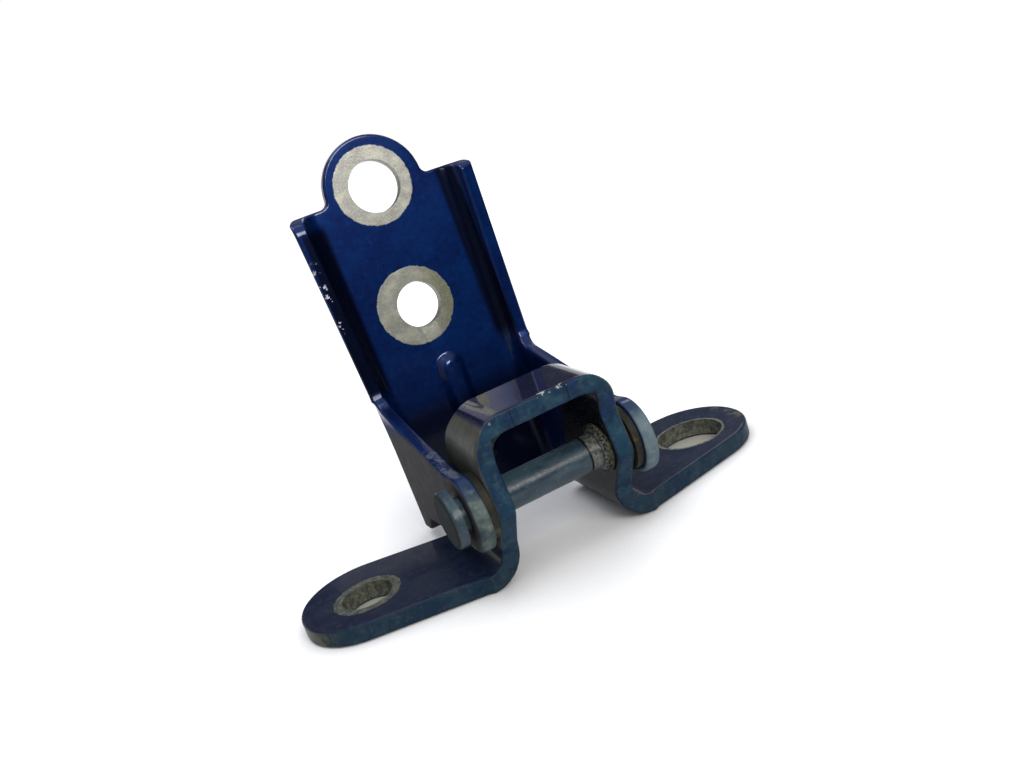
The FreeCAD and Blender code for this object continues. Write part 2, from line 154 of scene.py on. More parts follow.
# %% [markdown]
# ## A pale studio
# The hinge stands on a white table in front of a low white backdrop. White that the
# camera sees is one thing and light on the object is another: if the lamps were turned
# up until the table was white, the navy paint would turn grey. So the world shows white
# to the camera. The hinge is lit by a soft sky, and in its gloss it sees the backdrop
# near the horizon, a small window above it, grey walls, and a dim room in front. A dark
# glossy paint is only as dark as what it mirrors.

# %% World light
world = bpy.data.worlds.new("studio_room")
world.use_nodes = True
tree = world.node_tree
tree.nodes.clear()
way = add(tree, "TexCoord", output="Generated")
across, ahead, up = (add(tree, "SeparateXYZ", {0: way}, axis) for axis in "XYZ")
slope = add(tree, "Math", {"operation": "DIVIDE", 0: across, 1: ahead})
room = coats(
    tree, "#1b1d22",
    (zone(tree, (ahead, -0.1, 0.6)), "#3a3d45", 1.0),
    (zone(tree, (up, 0.35, 0.9)), "#e6e9f0", 1.0),
    (zone(tree, (up, 0.2, 0.12), (ahead, 0.15, 0.35)), "#ffffff", 1.0),
    (zone(tree, (up, 0.32, 0.335), (up, 0.41, 0.395), (slope, 0.06, 0.075),
          (slope, 0.24, 0.225), (ahead, 0.5, 0.6)), "#ffffff", 1.0),
)
soft = add(tree, "Background", {"Color": room, "Strength": 0.8})
white = add(tree, "Background", {"Color": (1, 1, 1, 1), "Strength": 1.0})
to_camera = add(tree, "LightPath", output="Is Camera Ray")
add(tree, "OutputWorld", {0: add(tree, "MixShader", {0: to_camera, 1: soft, 2: white})})
scene.world = world
scene.view_settings.view_transform = "Standard"

# %% [markdown]
# ## The table
# The table top is a disc that is worked out with numpy as one ring of points. Its front
# edge is near, so that the leaf mirrors the dim room and not the table. To the camera
# and to gloss it adds some light of its own, so that it reaches white and still takes
# the hinge's shadow. Its light grows with the distance from the hinge, so that the near
# ground doesn't bleach the paint. Close under the feet it adds less, as in a real contact
# shadow. Under the two foot holes it is painted grey and adds little light of its own:
# a painted shade.

# %% Table top


def mesh_piece(name, points, faces):
    """A mesh object at the origin from an array of points in millimetres and faces."""
    mesh = bpy.data.meshes.new(name)
    mesh.from_pydata((points * MM).tolist(), [], faces)
    mesh.validate()
    made = bpy.data.objects.new(name, mesh)
    scene.collection.objects.link(made)
    return made


TABLE_RADIUS, TABLE_FRONT, TABLE_DROP = 1200.0, -190.0, -0.2
TABLE_STEPS = 128
turn = np.linspace(0, 2 * np.pi, TABLE_STEPS, endpoint=False)
rim = np.stack([np.cos(turn) * TABLE_RADIUS,
                np.sin(turn) * TABLE_RADIUS + TABLE_RADIUS + TABLE_FRONT,
                np.full(TABLE_STEPS, TABLE_DROP)], axis=1)
table = mesh_piece("table_top", rim, [tuple(range(TABLE_STEPS))])
table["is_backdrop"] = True
print("table:", round(2 * TABLE_RADIUS), "mm across, its front edge at y", TABLE_FRONT)

# %% Table finish
LEFT_FOOT, RIGHT_FOOT = -44.5, 44.5
LEFT_BORE, RIGHT_BORE = 6.0, 8.2
SHADOW_REACH, SHADOW_POWER = 45.0, 1.6
NEAR, FAR, NEAR_GLOW, FAR_GLOW, HOLE_GLOW = 120.0, 500.0, 0.62, 0.95, 0.2

paper = bpy.data.materials.new("matt_white_table")
paper.use_nodes = True
tree = paper.node_tree
tree.nodes.clear()
place = add(tree, "TexCoord", output="Object")
apart = add(tree, "VectorMath", {"operation": "LENGTH", 0: place}, "Value")
open_sky = add(tree, "AmbientOcclusion", {"samples": 8, "Distance": SHADOW_REACH * MM}, "AO")
own = add(tree, "Math", {"operation": "POWER", 0: open_sky, 1: SHADOW_POWER})
glow = add(tree, "MapRange", {**SOFT, 0: apart, 1: NEAR * MM, 2: FAR * MM, 3: NEAR_GLOW,
                              4: FAR_GLOW})
glow = add(tree, "Math", {"operation": "MULTIPLY", 0: own, 1: glow})
# Painted shade: under the two foot holes the table is painted grey and glows less.
in_left, in_right = (
    zone(tree, (add(tree, "VectorMath", {"operation": "DISTANCE", 0: place,
                                         1: (foot * MM, 0, 0)}, "Value"),
                (bore + 0.4) * MM, (bore - 0.2) * MM))
    for foot, bore in ((LEFT_FOOT, LEFT_BORE), (RIGHT_FOOT, RIGHT_BORE)))
hole_shade = add(tree, "Math", {"operation": "MAXIMUM", 0: in_left, 1: in_right})
glow = add(tree, "Math", {"operation": "MULTIPLY", 0: glow,
                          1: add(tree, "MapRange", {0: hole_shade, 3: 1.0, 4: HOLE_GLOW})})
matt = add(tree, "BsdfDiffuse", {
    "Color": coats(tree, "#c9cacc", (hole_shade, "#8f8e81", 1.0))})
light = add(tree, "Emission", {"Color": (1, 1, 1, 1), "Strength": glow})
both = add(tree, "AddShader", {0: matt, 1: light})
seen = add(tree, "Math", {"operation": "ADD", "use_clamp": True,
                          0: add(tree, "LightPath", output="Is Camera Ray"),
                          1: add(tree, "LightPath", output="Is Glossy Ray")})
add(tree, "OutputMaterial", {0: add(tree, "MixShader", {0: seen, 1: matt, 2: both})})
table.data.materials.append(paper)
print("table finish:", len(tree.nodes), "nodes")

# %% [markdown]
# ## Lamps
# Gloss shows the shape of a lamp, so the lamps are large soft boxes. The main one stands
# in front on the right, above the camera, where the flat plate doesn't mirror it: it
# draws the long highlight on the pin and the bright spots on the folds. One hangs
# overhead, one behind on the right draws thin lines along the edges, and a weak one
# fills the left.

# %% Soft boxes


def soft_box(name, place, aim, wide, tall, power, colour):
    """A rectangular area lamp at place that faces aim, both in millimetres. It is wide by
    tall in metres and gives its power in watts."""
    lamp = bpy.data.lights.new(name, "AREA")
    lamp.shape = "RECTANGLE"
    lamp.size, lamp.size_y = wide, tall
    lamp.energy = power
    lamp.color = linear(colour)[:3]
    made = bpy.data.objects.new(name, lamp)
    spot = Vector(place) * MM
    turn = (Vector(aim) * MM - spot).to_track_quat("-Z", "Y")
    made.matrix_world = Matrix.Translation(spot) @ turn.to_matrix().to_4x4()
    scene.collection.objects.link(made)
    return made


soft_box("front_box", (90, -760, 480), (0, 0, 40), 0.35, 0.3, 5.5, "#fffaf2")
soft_box("overhead_box", (-120, -60, 650), (0, 0, 40), 0.35, 0.35, 1.2, "#f4f7ff")
soft_box("back_box", (420, 380, 420), (0, 0, 40), 0.3, 0.3, 1.0, "#f6f8ff")
soft_box("left_fill", (-640, -260, 220), (0, 0, 40), 0.9, 0.9, 0.8, "#fffdf8")

# %% [markdown]
# ## Coordinates that follow the pieces
# Paint marks have real places: a bare ring lies round each screw hole. The bracket's
# marks are in the model's own millimetres. The leaf leans back by 5.9 degrees, so its
# marks are easier to place in its own millimetres: across it, up along it, and out of
# its plate, with zero on the pin's axis. The numbers in the zones further down are such
# millimetres, and with a noise they are its values.

# %% Millimetre coordinates
PIN = (0.0, -21.0, 20.4)
LEAF_LEAN = math.radians(5.9)


def bracket_mm(tree):
    """Object coordinates in millimetres."""
    return add(tree, "Mapping", {
        "vector_type": "TEXTURE", "Scale": (MM, MM, MM),
        "Vector": add(tree, "TexCoord", output="Object")})


def leaf_mm(tree):
    """Object coordinates in millimetres, turned into the leaf's own directions."""
    return add(tree, "Mapping", {
        "vector_type": "TEXTURE", "Location": tuple(c * MM for c in PIN),
        "Rotation": (math.pi / 2 - LEAF_LEAN, 0, 0), "Scale": (MM, MM, MM),
        "Vector": add(tree, "TexCoord", output="Object")})


def from_screw(tree, place, across, up, ragged=None):
    """Distance from a screw's axis, which stands at right angles to the coordinates'
    first two axes, in millimetres, with a ragged edge where noise is given."""
    moved = add(tree, "VectorMath", {"operation": "SUBTRACT", 0: place, 1: (across, up, 0)})
    flat = add(tree, "VectorMath", {"operation": "MULTIPLY", 0: moved, 1: (1, 1, 0)})
    apart = add(tree, "VectorMath", {"operation": "LENGTH", 0: flat}, "Value")
    if ragged is None:
        return apart
    rough = add(tree, "Math", {"operation": "MULTIPLY_ADD", 0: ragged, 1: 0.9, 2: -0.45})
    return add(tree, "Math", {"operation": "ADD", 0: apart, 1: rough})


def new_finish(name):
    """An empty material and its node tree."""
    made = bpy.data.materials.new(name)
    made.use_nodes = True
    made.node_tree.nodes.clear()
    return made, made.node_tree


# %% [markdown]
# ## Metallic navy paint on the leaf
# Body paint is a metallic base coat under a clear coat. The base is deep blue with
# flakes of mica, and the clear coat is a smooth film with an index of 1.5 that mirrors
# the room. Sprayed paint has orange peel, soft waves about a millimetre across. A
# principled shader with a coat does this, with noise for the flakes and the waves. The
# clear coat does the mirroring, so the base's own specular level is low. Real mica
# flakes are a few hundredths of a millimetre wide, and here they are drawn 0.35 mm wide,
# which is as coarse as they need to be to show.
#
# Under the screw heads the paint was rubbed off, so a ring of bare zinc shows round each
# hole. The ears have swung beside the bracket for years: their rims are rubbed to a
# chalky grey-green, and road dust has dulled their outer sides and their lower edge,
# which have lost their gloss. The folds beside the plate and its lower end are painted
# near black and lose most of their clear coat: painted shade. The right ear's nose gets
# a lighter grey-blue layer: painted light. A few chips have gone from the left flange's
# edge.

# %% Leaf paint: patterns
leaf_paint, tree = new_finish("metallic_navy_body_paint")
place = leaf_mm(tree)
x, y, z = (add(tree, "SeparateXYZ", {0: place}, axis) for axis in "XYZ")
wide = add(tree, "Math", {"operation": "ABSOLUTE", 0: x})
flakes, peel, smear, rough_edge, mottle, clouds, speckle = (
    add(tree, "TexNoise", {"Vector": place, "Scale": 1 / size, "Detail": detail,
                           "Roughness": strength})
    for size, detail, strength in ((0.35, 1.0, 0.5), (1.3, 2.0, 0.5), (3.2, 3.0, 0.5),
                                   (1.1, 3.0, 0.6), (1.6, 4.0, 0.65), (11.0, 4.0, 0.6),
                                   (0.5, 4.0, 0.7)))
print("leaf paint patterns:", len(tree.nodes), "nodes")

# %% Leaf paint: bare rings and hole walls
UPPER_MARK, LOWER_MARK = (-0.9, 71.6), (-2.06, 39.97)
UPPER_HOLE, LOWER_HOLE = (-0.5, 71.4), (-1.0, 39.9)
UPPER_BORE, LOWER_BORE = 6.65, 5.85
MARK_EDGE = (10.15, 9.9)
on_plate = ((z, -51.3, -51.1), (z, -50.4, -50.5))
upper_ring, lower_ring = (
    zone(tree, (from_screw(tree, place, *mark, rough_edge), *MARK_EDGE), *on_plate)
    for mark in (UPPER_MARK, LOWER_MARK))
upper_wall, lower_wall = (
    zone(tree, (from_screw(tree, place, *hole), bore + 0.08, bore + 0.02))
    for hole, bore in ((UPPER_HOLE, UPPER_BORE), (LOWER_HOLE, LOWER_BORE)))

# %% Leaf paint: worn, dusty and dark places
to_axis = add(tree, "Mapping", {"Vector": place, "Scale": (0, 1, 1)})
to_axis = add(tree, "VectorMath", {"operation": "LENGTH", 0: to_axis}, "Value")
ear_nose = zone(tree, (to_axis, 7.9, 8.4), (z, -4.5, -0.5), (wide, 18.3, 18.8),
                (y, 9.4, 6.4))
ear_top = zone(tree, (z, -19.0, -14.0), (z, 1.5, -1.5), (y, 6.5, 8.5),
               (wide, 18.7, 19.3), (wide, 21.7, 21.2))
outer_side = zone(tree, (wide, 21.6, 21.8), (y, 17.0, 12.0))
lower_out = zone(tree, (wide, 20.5, 21.5), (y, 21.0, 15.0))
chipped = zone(tree, (x, -21.9, -22.3), (z, -48.4, -47.8), (y, 40.0, 43.0),
               (y, 60.0, 56.0), (rough_edge, 0.59, 0.63))
not_back = (z, -51.4, -51.1)
# Painted shade: the folds beside the plate and the plate's low end under the bridge are
# painted near black.
left_fold = zone(tree, (x, -15.6, -17.0), (x, -23.6, -22.7), not_back,
                 (y, 20.0, 25.0), (y, 68.0, 64.5))
right_fold = zone(tree, (x, 14.9, 16.2), (x, 20.3, 19.6), not_back, (y, 22.0, 27.0))
low_plate = zone(tree, (y, 19.0, 11.0), (wide, 18.4, 17.6), not_back)
fold_shade = add(tree, "Math", {"operation": "MAXIMUM", 0: left_fold, 1: right_fold})
fold_shade = add(tree, "Math", {"operation": "MAXIMUM", 0: fold_shade, 1: low_plate})
low_edge = zone(tree, (y, -6.5, -8.5), (z, -46.0, -43.0))

# %% Leaf paint: colours
navy = coats(
    tree, "#00184a",
    (zone(tree, (clouds, 0.35, 0.68)), "#002156", 1.0),
    (zone(tree, (mottle, 0.5, 0.75)), "#042c66", 0.5),
    (zone(tree, (mottle, 0.45, 0.3)), "#000a36", 0.5),
    (zone(tree, (flakes, 0.6, 0.85)), "#0c3d96", 0.3),
)
upper_zinc = coats(
    tree, "#8f918e",
    (zone(tree, (smear, 0.42, 0.68)), "#a9aaa0", 0.9),
    (zone(tree, (speckle, 0.5, 0.7)), "#c8c7be", 0.55),
    (zone(tree, (smear, 0.45, 0.25)), "#8d817b", 0.5),
    (zone(tree, (speckle, 0.45, 0.3)), "#686a64", 0.55),
)
lower_zinc = coats(
    tree, "#868983",
    (zone(tree, (smear, 0.42, 0.68)), "#a0a297", 0.9),
    (zone(tree, (x, -1.0, 7.0)), "#666852", 0.75),
    (zone(tree, (speckle, 0.5, 0.7)), "#b5b3a8", 0.45),
    (zone(tree, (smear, 0.4, 0.2)), "#7d706a", 0.5),
    (zone(tree, (speckle, 0.45, 0.3)), "#5b5c54", 0.5),
)
wall_zinc = coats(tree, "#6d6c5e", (zone(tree, (speckle, 0.4, 0.7)), "#a9a797", 0.8))
worn_rim = coats(
    tree, "#47534f",
    (zone(tree, (smear, 0.45, 0.6)), "#5c6865", 1.0),
    (zone(tree, (mottle, 0.55, 0.68)), "#87938a", 0.5),
    (zone(tree, (smear, 0.47, 0.36)), "#2a3c50", 0.7),
    (zone(tree, (y, 2.5, 7.0)), "#1f3350", 0.8),
)
dust = coats(tree, "#3c3b3a", (zone(tree, (smear, 0.4, 0.7)), "#4a4845", 0.8),
             (zone(tree, (mottle, 0.42, 0.3)), "#242423", 0.6))
scraped = zone(tree, (mottle, 0.42, 0.58))
scraped = add(tree, "Math", {"operation": "MULTIPLY", 0: scraped, 1: ear_top})
colour = coats(
    tree, navy,
    (fold_shade, "#010313", 0.9),
    (outer_side, dust, 0.92),
    (low_edge, dust, 0.92),
    (ear_nose, worn_rim, 0.95),
    # Painted light: a lighter grey-blue layer on the right ear's nose offsets its shade.
    (zone(tree, (x, 17.0, 18.0), (to_axis, 8.2, 8.5), (z, -3.0, 0.0)), "#6f828e", 0.55),
    (scraped, "#62666c", 0.7),
    (chipped, "#c3c4ce", 0.9),
    (upper_wall, wall_zinc, 1.0),
    (lower_wall, wall_zinc, 1.0),
    (upper_ring, upper_zinc, 1.0),
    (lower_ring, lower_zinc, 1.0),
)

# %% Leaf paint: surface
stripped, dull = upper_ring, lower_out
for bare in (lower_ring, upper_wall, lower_wall, chipped):
    stripped = add(tree, "Math", {"operation": "MAXIMUM", 0: stripped, 1: bare})
for worn in (ear_nose, low_edge, scraped):
    dull = add(tree, "Math", {"operation": "MAXIMUM", 0: dull, 1: worn})
glossy = add(tree, "Math", {"operation": "MAXIMUM", 0: dull, 1: stripped})
glossy = add(tree, "Math", {"operation": "SUBTRACT", 0: 1.0, 1: glossy})
waves = add(tree, "Bump", {"Strength": 0.06, "Distance": 0.0002, "Height": peel})
grit = add(tree, "Math", {"operation": "MULTIPLY", 0: speckle, 1: stripped})
scratches = add(tree, "Bump", {"Strength": 0.5, "Distance": 0.0001, "Height": grit,
                               "Normal": waves})
rough = add(tree, "MapRange", {0: dull, 3: 0.42, 4: 0.72})
rough = add(tree, "Mix", {0: stripped, 2: rough, 3: 0.4})
mica = add(tree, "MapRange", {0: dull, 3: 0.65, 4: 0.1})
add(tree, "OutputMaterial", {0: add(tree, "BsdfPrincipled", {
    "Base Color": colour, "Roughness": rough, "Normal": scratches, "Metallic": mica,
    "Coat Weight": add(tree, "Math", {
        "operation": "MULTIPLY", 0: glossy,
        1: add(tree, "MapRange", {0: fold_shade, 3: 0.75, 4: 0.15})}),
    "Coat Roughness": 0.13, "Coat IOR": 1.5, "Specular IOR Level": 0.08})})

# %% [markdown]
# ## Weathered paint on the bracket
# The bracket was painted by the same gun, but it sits low on the door post, where road
# dust and polish have dulled it. Its faces get lit and shaded copies of one paint by
# where they look, which is painted light: the cut edges that face forward are teal-blue,
# the feet are navy with a slate cast of painted sky reflection, and the top of the bridge
# is nearly black, a painted reflection of the dim room. The object-space normal tells the
# faces apart. Between the ears and under the bridge the paint is near black: painted
# shade. The ears' outer sides are dull with road dust. Where the sheet was bent, the
# paint has cracked in two thin upright lines on the bridge's front edge, and the lip
# between them is chipped.

# %% Bracket paint: patterns
bracket_paint, tree = new_finish("weathered_blue_paint")
place = bracket_mm(tree)
x, y, z = (add(tree, "SeparateXYZ", {0: place}, axis) for axis in "XYZ")
wide = add(tree, "Math", {"operation": "ABSOLUTE", 0: x})
facing = add(tree, "TexCoord", output="Normal")
look_x, look_y, look_z = (add(tree, "SeparateXYZ", {0: facing}, axis) for axis in "XYZ")
look_x = add(tree, "Math", {"operation": "ABSOLUTE", 0: look_x})
clouds, mottle, speckle, rough_edge, peel = (
    add(tree, "TexNoise", {"Vector": place, "Scale": 1 / size, "Detail": detail,
                           "Roughness": strength})
    for size, detail, strength in ((7.0, 4.0, 0.6), (2.2, 4.0, 0.65), (0.6, 4.0, 0.7),
                                   (1.0, 3.0, 0.6), (1.4, 3.0, 0.5)))
print("bracket paint patterns:", len(tree.nodes), "nodes")

# %% Bracket paint: places
# These facing masks pick lit and shaded copies of one paint: painted light.
tops = zone(tree, (look_z, 0.5, 0.85))
ear_sides = zone(tree, (wide, 12.9, 14.2), (look_x, 0.3, 0.4), (z, 39.4, 38.0),
                 (z, 8.5, 10.0))
fronts = zone(tree, (look_y, -0.4, -0.8))
high = zone(tree, (z, 10.0, 20.0))
# Painted shade: between the ears and under the bridge the paint is near black.
between = zone(tree, (wide, 12.9, 12.4), (z, 35.6, 34.8))
left_mark = zone(tree, (from_screw(tree, place, LEFT_FOOT, 0.0, rough_edge), 8.2, 7.9),
                 (z, 0.2, 0.4))
right_mark = zone(tree, (from_screw(tree, place, RIGHT_FOOT, 0.0, rough_edge), 8.95, 8.75),
                  (z, 0.2, 0.4))
left_tip = zone(tree, (x, -54.0, -57.0), (z, 4.2, 1.5), (mottle, 0.42, 0.55))
right_tip = zone(tree, (x, 55.5, 58.0), (mottle, 0.48, 0.56))
crack_left = zone(tree, (x, -7.25, -7.1), (x, -6.75, -6.9), (z, 30.0, 33.0))
crack_right = zone(tree, (x, 6.0, 6.2), (x, 6.6, 6.4), (z, 30.0, 33.0))
lip = zone(tree, (z, 38.9, 39.2), (x, -1.5, 0.5), (x, 7.4, 6.6), (y, -27.0, -27.4),
           (rough_edge, 0.52, 0.58))
PALE_CHIP = (-11.8, -27.9, 38.3)
from_chip = add(tree, "VectorMath", {"operation": "DISTANCE", 0: place, 1: PALE_CHIP},
                "Value")

# %% Bracket paint: colours
# Lit and shaded copies of one paint, chosen by where each face looks: painted light.
teal = coats(
    tree, "#152c44",
    (zone(tree, (clouds, 0.4, 0.6)), "#203c50", 1.0),
    (zone(tree, (mottle, 0.5, 0.68)), "#3c545e", 0.45),
    (zone(tree, (clouds, 0.42, 0.3)), "#1d3168", 0.7),
    (zone(tree, (mottle, 0.42, 0.3)), "#0d1c32", 0.7),
)
low_teal = coats(
    tree, "#1a2c3e",
    (zone(tree, (clouds, 0.4, 0.6)), "#243643", 1.0),
    (zone(tree, (mottle, 0.5, 0.68)), "#3c4a4c", 0.4),
    (zone(tree, (mottle, 0.42, 0.3)), "#101c30", 0.7),
)
foot_top_sheen = coats(
    tree, "#141c34",
    (zone(tree, (clouds, 0.4, 0.62)), "#1f2738", 1.0),
    (zone(tree, (mottle, 0.52, 0.7)), "#323a46", 0.45),
    (zone(tree, (mottle, 0.42, 0.28)), "#0b1432", 0.7),
)
bridge_top_shade = coats(
    tree, "#080e28",
    (zone(tree, (clouds, 0.4, 0.62)), "#141732", 1.0),
    (zone(tree, (mottle, 0.55, 0.7)), "#2a2e3e", 0.35),
)
side_navy = coats(tree, "#141d2c", (zone(tree, (clouds, 0.4, 0.65)), "#242b33", 1.0))
road_dust = coats(tree, "#41423e", (zone(tree, (clouds, 0.4, 0.62)), "#4c4d48", 1.0),
                  (zone(tree, (mottle, 0.42, 0.3)), "#2c2d2b", 0.6))
recess_shade = coats(tree, "#05080b", (zone(tree, (mottle, 0.45, 0.65)), "#0f1615", 1.0))
old_zinc = coats(
    tree, "#4f524c",
    (zone(tree, (mottle, 0.4, 0.6)), "#73756c", 1.0),
    (zone(tree, (speckle, 0.5, 0.72)), "#a0a194", 0.6),
    (zone(tree, (speckle, 0.42, 0.28)), "#2c2d26", 0.6),
)
# Painted reflection on the tops: a slate sheen on the feet and a near-black dim room on the
# bridge.
top_sheen_and_shade = add(tree, "Mix", {**COLOUR, 0: high, 6: foot_top_sheen, 7: bridge_top_shade}, MIXED)
colour = coats(
    tree, side_navy,
    (fronts, low_teal, 1.0),
    (zone(tree, (look_y, -0.4, -0.8), (z, 5.5, 9.5)), teal, 1.0),
    (tops, top_sheen_and_shade, 1.0),
    (between, recess_shade, 0.85),
    (ear_sides, road_dust, 0.9),
    (zone(tree, (speckle, 0.62, 0.74)), "#7c8586", 0.35),
    (crack_left, "#101a24", 0.8),
    (crack_right, "#101a24", 0.8),
    (lip, "#b4bdc0", 0.8),
    (zone(tree, (from_chip, 0.4, 0.15)), "#758a96", 0.8),
    (left_tip, "#4c4c38", 0.8),
    (right_tip, "#5a5d54", 0.7),
    (left_mark, old_zinc, 1.0),
    (right_mark, old_zinc, 1.0),
)

# %% Bracket paint: surface
bare = add(tree, "Math", {"operation": "MAXIMUM", 0: left_mark, 1: right_mark})
bumps = add(tree, "Bump", {"Strength": 0.02, "Distance": 0.0002, "Height": peel})
pits = add(tree, "Math", {"operation": "MULTIPLY", 0: mottle, 1: fronts})
dents = add(tree, "Bump", {"Strength": 0.35, "Distance": 0.0003, "Height": pits,
                           "Normal": bumps})
rough = add(tree, "MapRange", {**SOFT, 0: speckle, 1: 0.3, 2: 0.8, 3: 0.38, 4: 0.6})
polish = add(tree, "MapRange", {**SOFT, 0: z, 1: 12.0, 2: 30.0, 3: 0.2, 4: 0.9})
matt_parts = bare
for matt_part in (fronts, ear_sides):
    matt_parts = add(tree, "Math", {"operation": "MAXIMUM", 0: matt_parts, 1: matt_part})
gloss = add(tree, "MapRange", {0: matt_parts, 3: 1.0, 4: 0.06})
gloss = add(tree, "Math", {"operation": "MULTIPLY", 0: gloss, 1: polish})
add(tree, "OutputMaterial", {0: add(tree, "BsdfPrincipled", {
    "Base Color": colour, "Roughness": rough, "Normal": dents, "Coat Weight": gloss,
    "Metallic": add(tree, "Math", {"operation": "MULTIPLY", 0: bare, 1: 0.6}),
    "Coat Roughness": 0.05, "Coat IOR": 1.5, "Specular IOR Level": 0.06})})

# %% [markdown]
# ## Satin paint and grime on the pin
# The pin was painted in place, so it has the bracket's colour, worn to a satin
# blue-grey. Past the groove near the right ear it is greyer, where grease caught dirt.
# The head's end face is painted near black, a painted shade, and is matt.

# %% Pin finish
pin_paint, tree = new_finish("satin_blue_grey_paint")
place = bracket_mm(tree)
x = add(tree, "SeparateXYZ", {0: place}, "X")
fine = add(tree, "TexNoise", {"Vector": place, "Scale": 1 / 0.7, "Detail": 5.0,
                              "Roughness": 0.65})
drawn = add(tree, "Mapping", {"Vector": place, "Scale": (0.35, 1.0, 1.0)})
clouds = add(tree, "TexNoise", {"Vector": drawn, "Scale": 1 / 3.5, "Detail": 3.0,
                                "Roughness": 0.6})
grime = coats(tree, "#34352f", (zone(tree, (fine, 0.4, 0.62)), "#6a6b60", 1.0))
# Painted shade: the head's end face is painted near black.
end_face = zone(tree, (x, -25.3, -25.8))
colour = coats(
    tree, "#20313d",
    (zone(tree, (clouds, 0.38, 0.66)), "#334853", 1.0),
    (zone(tree, (x, 8.0, 8.5), (x, 12.7, 12.4)), grime, 0.75),
    (zone(tree, (x, 7.5, 7.65), (x, 8.2, 8.05)), "#0d1214", 1.0),
    (zone(tree, (fine, 0.6, 0.72)), "#75827c", 0.35),
    (end_face, "#0e1012", 0.85),
)
bumps = add(tree, "Bump", {"Strength": 0.2, "Distance": 0.0002, "Height": fine})
rough = add(tree, "MapRange", {**SOFT, 0: fine, 1: 0.3, 2: 0.8, 3: 0.26, 4: 0.5})
rough = add(tree, "Mix", {0: end_face, 2: rough, 3: 0.9})
add(tree, "OutputMaterial", {0: add(tree, "BsdfPrincipled", {
    "Base Color": colour, "Roughness": rough, "Normal": bumps,
    "Specular IOR Level": 0.35})})

# %% [markdown]
# ## Passivated bushes
# The bushes are rolled from plated steel strip. Yellow passivation and old grease give
# them an olive satin metal, and its colour is darkened to near black so that the gap
# between the ears reads dark: painted shade.

# %% Bush finish
bush_metal_and_shade, tree = new_finish("olive_steel_with_painted_shade")
place = bracket_mm(tree)
fine = add(tree, "TexNoise", {"Vector": place, "Scale": 1 / 0.8, "Detail": 4.0,
                              "Roughness": 0.6})
smear = add(tree, "TexNoise", {"Vector": place, "Scale": 1 / 4.0, "Detail": 2.0})
# The near-black base stands for the shade in the gap between the ears: painted shade.
colour = coats(
    tree, "#14150e",
    (zone(tree, (fine, 0.4, 0.65)), "#222217", 1.0),
    (zone(tree, (smear, 0.58, 0.72)), "#5c5236", 0.4),
    (zone(tree, (smear, 0.46, 0.34)), "#0e0f0a", 0.7),
)
bumps = add(tree, "Bump", {"Strength": 0.2, "Distance": 0.0001, "Height": fine})
add(tree, "OutputMaterial", {0: add(tree, "BsdfPrincipled", {
    "Base Color": colour, "Metallic": 0.2, "Roughness": 0.6, "Normal": bumps,
    "Specular IOR Level": 0.3})})

# %% Give every solid its finish
finishes = {
    "hat_bracket": bracket_paint,
    "channel_leaf": leaf_paint,
    "hinge_pin": pin_paint,
    "left_bush": bush_metal_and_shade,
    "right_bush": bush_metal_and_shade,
}
for name, finish in finishes.items():
    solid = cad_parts[name]
    solid.data.materials.clear()
    solid.data.materials.append(finish)
    print(name, len(solid.data.polygons), "faces,", finish.name)

# %% [markdown]
# ## The leaf's upper corners
# The pressed blank leaves both flanges level with the plate's top edge, and their outer
# corners are rounded so that they don't cut a hand. The solid leaf has a lower right
# shoulder and square corners. A copy of its mesh is cut by a few planes across each
# corner to get rows of points there, and then numpy moves the points: the right shoulder
# is lifted, the flanges open a little wider towards the top, and each square corner is
# pressed round.

# %% Sizes of the flanges and their corners
SHOULDER = 70.4
SLOPE_FROM, SLOPE_WIDTH, SLOPE_DROP = 14.75, 9.9, 3.9
LEVELLED = 0.9
LIFT_FROM, LIFT_OVER = 55.0, 8.0
FLANGE_LEAN = 1.5 / 48.4
WIDER, WIDER_FROM, WIDER_OVER = 0.5, 22.0, 48.0
FLAT_HALF, BEND_WIDTH = 13.5, 2.0
CORNER = 4.5
CUTS = (0.0, 0.2, 0.4, 0.6, 0.8)
ABOVE_RAMP = 24.0
SHARP_FROM = 35.0

row_to_leaf = np.array([[1, 0, 0],
                        [0, math.sin(LEAF_LEAN), math.cos(LEAF_LEAN)],
                        [0, -math.cos(LEAF_LEAN), math.sin(LEAF_LEAN)]])


def leaf_points(places):
    """Points in leaf millimetres: (place - pin) turned by the leaf's lean."""
    return (np.array(places) / MM - PIN) @ row_to_leaf.T


# %% Cut rows of points into a copy of the leaf
shell = bmesh.new()
shell.from_mesh(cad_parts["channel_leaf"].data)
bmesh.ops.remove_doubles(shell, verts=shell.verts, dist=2e-6)
points = leaf_points([v.co for v in shell.verts])
upper = points[points[:, 1] > SHOULDER - CORNER * 4]
flange_top = upper[:, 2].max()
print("sheet and flange are", round(flange_top - upper[:, 2].min(), 2), "mm deep")
for cut in CUTS:
    for normal, base in ((row_to_leaf[1], SHOULDER), (row_to_leaf[2], flange_top)):
        spot = np.array(PIN) + normal * (base - CORNER * (1 - cut))
        heights = leaf_points([f.calc_center_median() for f in shell.faces])[:, 1]
        near = [f for f, height in zip(shell.faces, heights) if height > ABOVE_RAMP]
        parts = dict.fromkeys([v for f in near for v in f.verts]
                              + [e for f in near for e in f.edges])
        bmesh.ops.bisect_plane(shell, geom=list(parts) + near, dist=1e-6,
                               plane_co=spot * MM, plane_no=normal)
print("cut leaf:", len(shell.faces), "faces")

# %% Lift, widen and round the flanges


def ramp(value, start, over):
    """0 at the start, rising evenly to 1 at start + over."""
    return np.clip((value - start) / over, 0, 1)


